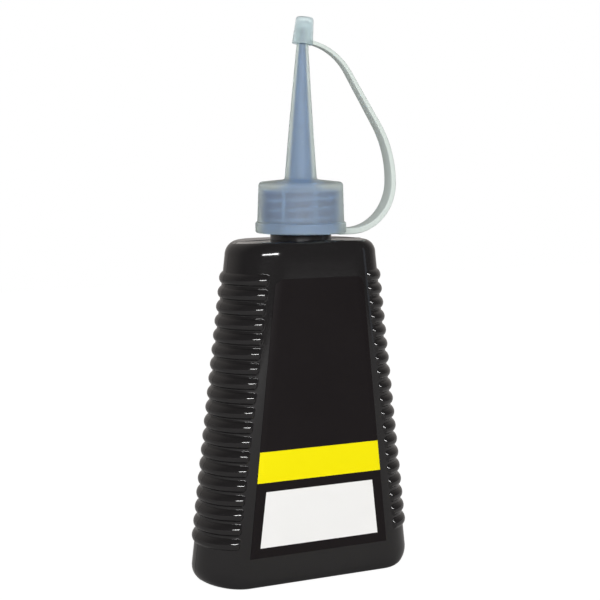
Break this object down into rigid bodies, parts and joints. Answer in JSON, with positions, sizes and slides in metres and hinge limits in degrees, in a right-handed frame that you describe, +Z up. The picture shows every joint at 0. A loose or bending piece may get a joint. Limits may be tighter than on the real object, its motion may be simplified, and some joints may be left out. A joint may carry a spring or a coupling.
{
  "type": "graphite lock lubricant bottle",
  "caption": "Tapered squeeze bottle with ribbed grip sides for graphite powder, closed by a screw nozzle cap with a long spout and a tethered tip cap.",
  "frame": {"origin": "centre of the flat base, on the surface that the bottle stands on", "axes": "+Z up along the neck and the spout, -Y out of the labelled front, +X towards the strap"},
  "size_m": [0.0754, 0.0294, 0.1813],
  "materials": {
    "bottle_plastic": "moulded black polyethylene, satin gloss",
    "label_film": "printed film, semi-gloss",
    "graphite": "fine dark grey powder",
    "seal_foam": "white foamed polyethylene",
    "cap_plastic": "natural translucent polyethylene",
    "strap_plastic": "natural translucent polyethylene",
    "tip_plastic": "natural translucent polyethylene"
  },
  "bodies": {
    "bottle": {"bottle": "bottle_plastic", "front_label": "label_film", "graphite_powder": "graphite"},
    "seal": {"neck_seal": "seal_foam"},
    "nozzle": {"nozzle_cap": "cap_plastic", "tether_strap": "strap_plastic"},
    "tip": {"tip_cap": "tip_plastic"}
  },
  "joints": [
    {"name": "cap_rise", "type": "slide", "parent": "bottle", "child": "seal", "axis": [0, 0, 1], "range_m": [0, 0.00477]},
    {"name": "cap_turn", "type": "hinge", "parent": "seal", "child": "nozzle", "pos_m": [0, 0, 0.1118], "axis": [0, 0, 1], "range_deg": [0, 540]},
    {"name": "tip_lift", "type": "slide", "parent": "nozzle", "child": "tip", "axis": [0, 0, 1], "range_m": [0, 0.012], "deforming": ["tether_strap"]}
  ],
  "couplings": [
    {"joint": "cap_rise", "follows": "cap_turn", "m_per_rad": 0.00050532}
  ]
}
